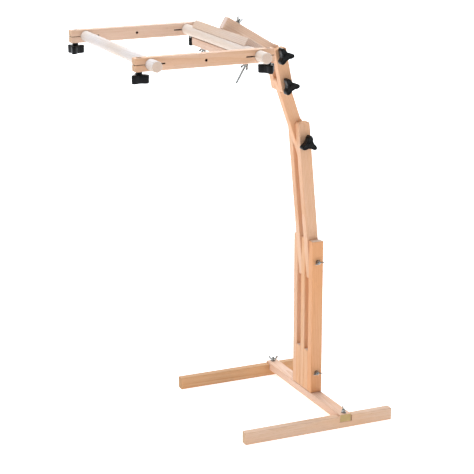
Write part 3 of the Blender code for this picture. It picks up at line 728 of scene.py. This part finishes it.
def thread_ring(height):
    """One ring of a screw thread, whose radius runs up and down with height and angle."""
    ring = []
    for step in range(BOLT_SIDES):
        share = (height / THREAD_PITCH - step / BOLT_SIDES) % 1.0
        radius = THREAD_ROOT + (THREAD_CREST - THREAD_ROOT) * abs(2 * share - 1)
        ring.append(ring_point(radius, 2 * math.pi * step / BOLT_SIDES, height))
    return ring


def thread_height(row):
    """How far a row of the thread is from the bolt's tip."""
    return THREAD_START + row * THREAD_PITCH / ROWS_PER_TURN


def domed_head(length):
    """Rings over a domed head, from the shank to near the middle of the dome."""
    seat = length - DOME_HEIGHT
    rings = [
        round_ring(SHANK_RADIUS, seat, BOLT_SIDES),
        round_ring(DOME_RADIUS - SEAT_EDGE, seat, BOLT_SIDES),
    ]
    for degrees in DOME_DEGREES:
        angle = math.radians(degrees)
        height = seat + DOME_RIM + (DOME_HEIGHT - DOME_RIM) * math.sin(angle)
        rings.append(round_ring(DOME_RADIUS * math.cos(angle), height, BOLT_SIDES))
    return rings


def socket_head(length):
    """Rings over a cylinder head, from the shank to the floor of its hexagon socket."""
    seat = length - HEAD_HEIGHT
    outside = (
        (SHANK_RADIUS, seat),
        (HEAD_RADIUS - SEAT_EDGE, seat),
        (HEAD_RADIUS, seat + SEAT_EDGE),
        (HEAD_RADIUS, length - HEAD_EDGE),
        (HEAD_RADIUS - HEAD_EDGE_MIDDLE, length - HEAD_EDGE_MIDDLE),
        (HEAD_RADIUS - HEAD_EDGE, length),
    )
    socket = (
        (SOCKET_RADIUS + SOCKET_EDGE, length),
        (SOCKET_RADIUS, length - SOCKET_EDGE),
        (SOCKET_RADIUS, length - SOCKET_DEPTH),
    )
    rings = [round_ring(radius, height, BOLT_SIDES) for radius, height in outside]
    return rings + [hexagon_ring(radius, height) for radius, height in socket]


def bolt_mesh(name, length, domed, thread, material):
    """A bolt standing on its tip: thread, shank, and a domed or a socket head on top."""
    rows = int(thread / THREAD_PITCH * ROWS_PER_TURN)
    rings = [
        round_ring(TIP_RADIUS, 0.0, BOLT_SIDES),
        round_ring(TIP_RIM_RADIUS, TIP_RIM_HEIGHT, BOLT_SIDES),
    ]
    rings += [thread_ring(thread_height(row)) for row in range(1, rows + 1)]
    rings.append(round_ring(SHANK_RADIUS, thread_height(rows + 2), BOLT_SIDES))
    rings += domed_head(length) if domed else socket_head(length)
    return skin(name, rings, material, BOLT_SHARP_ANGLE)


# Each bolt's way from tip to head, whether its head is domed, and its thread's length
BOLTS = {
    "mast_bolt": (ALONG_Y, True, THREADED_END),
    "post_bolt": (ALONG_Y, True, THREADED_END),
    "lower_arm_bolt": (ALONG_Y, True, THREADED_END),
    "upper_arm_bolt": (ALONG_Y, True, THREADED_END),
    "head_arm_bolt": (ALONG_Y, True, THREADED_END),
    "front_lap_bolt": (-UP, False, THREADED_END),
    "rear_lap_bolt": (-UP, False, THREADED_END),
    "clamp_bolt_near": (CLAMP_OVER, False, CLAMP_THREAD),
    "clamp_bolt_far": (CLAMP_OVER, False, CLAMP_THREAD),
    "swivel_bolt": (-CLAMP_OVER, False, THREADED_END),
    "rail_bolt_near_front": (UP, False, THREADED_END),
    "rail_bolt_near_back": (UP, False, THREADED_END),
    "rail_bolt_far_front": (UP, False, THREADED_END),
    "rail_bolt_far_back": (UP, False, THREADED_END),
}


def dress_bolts(material):
    for node, (direction, domed, thread) in BOLTS.items():
        start, length = turned_place(node, direction)
        mesh = bolt_mesh(node + "_turned", length, domed, thread, material)
        add_piece(node + "_turned", mesh, standing(start, direction), node)


def add_nut_hub(bm):
    """The wing nut's tapered hub with its bore, as a ring of bands that closes on itself."""
    profile = (
        (NUT_BORE, 0.0),
        (NUT_BASE - NUT_BASE_EDGE, 0.0),
        (NUT_BASE, NUT_BASE_EDGE),
        (NUT_BASE, NUT_BASE_HEIGHT),
        (NUT_TOP, NUT_HEIGHT - NUT_TOP_EDGE),
        (NUT_TOP - NUT_TOP_EDGE, NUT_HEIGHT),
        (NUT_BORE + NUT_BORE_EDGE, NUT_HEIGHT),
        (NUT_BORE, NUT_HEIGHT - NUT_BORE_EDGE_DEPTH),
    )
    loops = [
        [bm.verts.new(point) for point in round_ring(radius, height, NUT_SIDES)]
        for radius, height in profile
    ]
    for lower, upper in zip(loops, loops[1:] + loops[:1]):
        join_rings(bm, lower, upper)


def add_wing(bm, side):
    """One rounded ear of the wing nut, towards own -X or +X as side is -1 or 1."""
    outline = list(WING_FOOT)
    for degrees in WING_DEGREES:
        angle = math.radians(degrees)
        outline.append(
            (WING_OUT + WING_ROUND * math.cos(angle), WING_UP + WING_ROUND * math.sin(angle)))
    outline += WING_NECK
    middle_out = sum(out for out, up in outline) / len(outline)
    middle_up = sum(up for out, up in outline) / len(outline)
    flat = WING_HALF_THICKNESS - WING_EDGE
    slices = (
        (-WING_HALF_THICKNESS, WING_EDGE),
        (-flat, 0.0),
        (flat, 0.0),
        (WING_HALF_THICKNESS, WING_EDGE),
    )
    rows = []
    for across, inset in slices:
        row = []
        for out, up in outline:
            reach = Vector((out - middle_out, up - middle_up))
            reach *= max(0.0, reach.length - inset) / reach.length
            row.append(bm.verts.new((side * (middle_out + reach.x), across, middle_up + reach.y)))
        rows.append(row)
    for lower, upper in zip(rows, rows[1:]):
        join_rings(bm, lower, upper)
    bm.faces.new(rows[0])
    bm.faces.new(rows[-1])


def wing_nut_mesh(material):
    """A cast wing nut: a tapered hub and two rounded ears, melted into one skin."""
    bm = bmesh.new()
    add_nut_hub(bm)
    add_wing(bm, -1)
    add_wing(bm, 1)
    blank = bpy.data.objects.new("wing_nut_blank", finished_mesh("wing_nut_blank", bm))
    bpy.context.scene.collection.objects.link(blank)
    melt = blank.modifiers.new("melt", "REMESH")
    melt.mode = "VOXEL"
    melt.voxel_size = NUT_VOXEL
    melt.use_smooth_shade = True
    soften = blank.modifiers.new("soften", "SMOOTH")
    soften.factor = NUT_SMOOTHING
    soften.iterations = NUT_SMOOTHING_PASSES
    depsgraph = bpy.context.evaluated_depsgraph_get()
    cast = bpy.data.meshes.new_from_object(blank.evaluated_get(depsgraph))
    bpy.data.objects.remove(blank, do_unlink=True)
    cast.materials.clear()
    cast.materials.append(material)
    cast.shade_smooth()
    return cast


# Each wing nut's way from its base to its wings
WING_NUTS = {
    "mast_wing_nut": -ALONG_Y,
    "post_wing_nut": -ALONG_Y,
    "front_lap_wing_nut": UP,
    "rear_lap_wing_nut": UP,
    "swivel_wing_nut": CLAMP_OVER,
    "clamp_wing_nut_near": -CLAMP_OVER,
    "clamp_wing_nut_far": -CLAMP_OVER,
}


def dress_wing_nuts(material):
    cast = wing_nut_mesh(material)
    for node, direction in WING_NUTS.items():
        start = turned_place(node, direction)[0]
        wings = furthest_way(node, start, direction)
        place = standing(start, direction, wings)
        add_piece(node + "_cast", cast.copy(), place, node)


def lobed_ring(height, inset, shrink=1.0, roundness=0.0, circle=0.0):
    """A ring on the knob's three-lobed outline, drawn towards a circle by its roundness."""
    mean = (KNOB_REACH + KNOB_WAIST - 2 * KNOB_SHARPNESS) / 2
    swing = (KNOB_REACH - KNOB_WAIST) / 2
    ring = []
    for step in range(KNOB_SIDES):
        angle = 2 * math.pi * step / KNOB_SIDES
        reach = mean + swing * math.cos(3 * angle) + KNOB_SHARPNESS * math.cos(6 * angle)
        reach = (reach * shrink - inset) * (1 - roundness) + circle * roundness
        ring.append(ring_point(reach, angle, height))
    return ring


def knob_hub():
    """Rings over the knob's hub, from inside its bore to the flare under the lobes."""
    profile = [
        (KNOB_BORE, KNOB_BORE_DEPTH),
        (KNOB_BORE, KNOB_BORE_EDGE),
        (KNOB_BORE + KNOB_BORE_EDGE, 0.0),
    ]
    profile += [(KNOB_HUB + out, up) for out, up in HUB_FOOT_EDGE]
    profile += [(KNOB_HUB + out, KNOB_HUB_HEIGHT + up) for out, up in HUB_TOP_FLARE]
    return [round_ring(radius, height, KNOB_SIDES) for radius, height in profile]


def knob_lobes():
    """Rings over the lobes, from the round edge under them to the one round the crown."""
    rings = []
    for degrees in LOBE_EDGE_DEGREES:
        angle = math.radians(degrees)
        height = KNOB_HUB_HEIGHT + LOBE_EDGE * (1 - math.cos(angle))
        rings.append(lobed_ring(height, LOBE_EDGE * (1 - math.sin(angle))))
    rings.append(lobed_ring(KNOB_HUB_HEIGHT + LOBE_MIDDLE_HEIGHT, 0.0, LOBE_MIDDLE_SHRINK))
    for degrees in CROWN_EDGE_DEGREES:
        angle = math.radians(degrees)
        height = KNOB_HEIGHT - CROWN_EDGE * (1 - math.sin(angle))
        rings.append(lobed_ring(height, CROWN_EDGE * (1 - math.cos(angle)), CROWN_SHRINK))
    return rings


def knob_crown():
    """Rings over the crown: its rim, the dish inside it and the raised middle."""
    rings = [lobed_ring(KNOB_HEIGHT + up, inset, CROWN_SHRINK) for inset, up in CROWN_RIM]
    dish = KNOB_HEIGHT - CROWN_DISH_DEPTH
    rings += [
        lobed_ring(dish, CROWN_DISH_INSET, CROWN_SHRINK, roundness, circle)
        for roundness, circle in CROWN_DISH
    ]
    return rings + [round_ring(radius, KNOB_HEIGHT + up, KNOB_SIDES) for radius, up in CROWN_BOSS]


def knob_mesh(material):
    """A three-lobed hand knob standing on its hub."""
    rings = knob_hub() + knob_lobes() + knob_crown()
    return skin("moulded_knob", rings, material, KNOB_SHARP_ANGLE)


KNOBS = sorted(node for node in OWNERS if "_knob" in node)


def dress_knobs(material):
    moulded = knob_mesh(material)
    for node in KNOBS:
        direction = -UP if node.startswith("rail") else -ALONG_Y
        axis_point = place_of(node + "_turn")
        lobe = furthest_way(node, axis_point, direction)
        lowest = min(vert.co.dot(direction) for vert in NODES[node].data.vertices)
        start = axis_point + direction * (lowest - axis_point.dot(direction))
        place = standing(start, direction, lobe)
        add_piece(node + "_moulded", moulded.copy(), place, node)


# ---------------------------------------------------------------------------- studio


def add_floor():
    bpy.ops.mesh.primitive_plane_add(size=FLOOR_SIZE, location=(0, 0, FLOOR_HEIGHT))
    floor = bpy.context.object
    floor.name = "studio_floor"
    graph = Graph("floor_white")
    coords = graph.node("ShaderNodeTexCoord").outputs["Object"]
    graph.surface(
        Base_Color=graph.mix(graph.noise(coords, *FLOOR_CLOUDS), FLOOR_GREY, FLOOR_PALE),
        Roughness=FLOOR_ROUGHNESS,
        Emission_Color=WHITE,
        Emission_Strength=FLOOR_GLOW,
    )
    floor.data.materials.append(graph.material)


def add_world():
    """Plain white all round, brighter as the backdrop than as a light."""
    world = bpy.data.worlds.new("studio_world")
    bpy.context.scene.world = world
    world.use_nodes = True
    tree = world.node_tree
    lit = tree.nodes["Background"]
    lit.inputs["Color"].default_value = WHITE
    lit.inputs["Strength"].default_value = WORLD_LIGHT
    seen = tree.nodes.new("ShaderNodeBackground")
    seen.inputs["Color"].default_value = WHITE
    seen.inputs["Strength"].default_value = BACKDROP_LIGHT
    path = tree.nodes.new("ShaderNodeLightPath")
    mix = tree.nodes.new("ShaderNodeMixShader")
    tree.links.new(path.outputs["Is Camera Ray"], mix.inputs[0])
    tree.links.new(lit.outputs[0], mix.inputs[1])
    tree.links.new(seen.outputs[0], mix.inputs[2])
    tree.links.new(mix.outputs[0], tree.nodes["World Output"].inputs["Surface"])


def add_lamps():
    """Round area lamps that all face the stand's middle from the same distance."""
    for name, (way, size, power, colour) in LAMPS.items():
        light = bpy.data.lights.new(name, "AREA")
        light.shape = "DISK"
        light.size = size
        light.energy = power
        light.color = colour
        lamp = bpy.data.objects.new(name, light)
        bpy.context.scene.collection.objects.link(lamp)
        way = Vector(way).normalized()
        lamp.location = STAND_MIDDLE + way * LAMP_DISTANCE
        lamp.rotation_mode = "QUATERNION"
        lamp.rotation_quaternion = (-way).to_track_quat("-Z", "Y")


def add_studio():
    add_world()
    add_floor()
    add_lamps()
    bpy.context.scene.view_settings.view_transform = "Standard"


def add_camera():
    camera = bpy.data.cameras.new("camera")
    camera.sensor_width = CAMERA_SENSOR
    camera.lens = CAMERA_LENS
    holder = bpy.data.objects.new("camera", camera)
    bpy.context.scene.collection.objects.link(holder)
    holder.location = CAMERA_PLACE
    forward = Vector((
        math.sin(CAMERA_TURN) * math.cos(CAMERA_DIP),
        math.cos(CAMERA_TURN) * math.cos(CAMERA_DIP),
        -math.sin(CAMERA_DIP),
    ))
    holder.rotation_mode = "QUATERNION"
    holder.rotation_quaternion = forward.to_track_quat("-Z", "Y")
    bpy.context.scene.camera = holder


dress_timber()
zinc = zinc_plate()
dress_bolts(zinc)
dress_wing_nuts(zinc)
dress_washers(zinc)
dress_knobs(moulded_plastic())
add_studio()
add_camera()
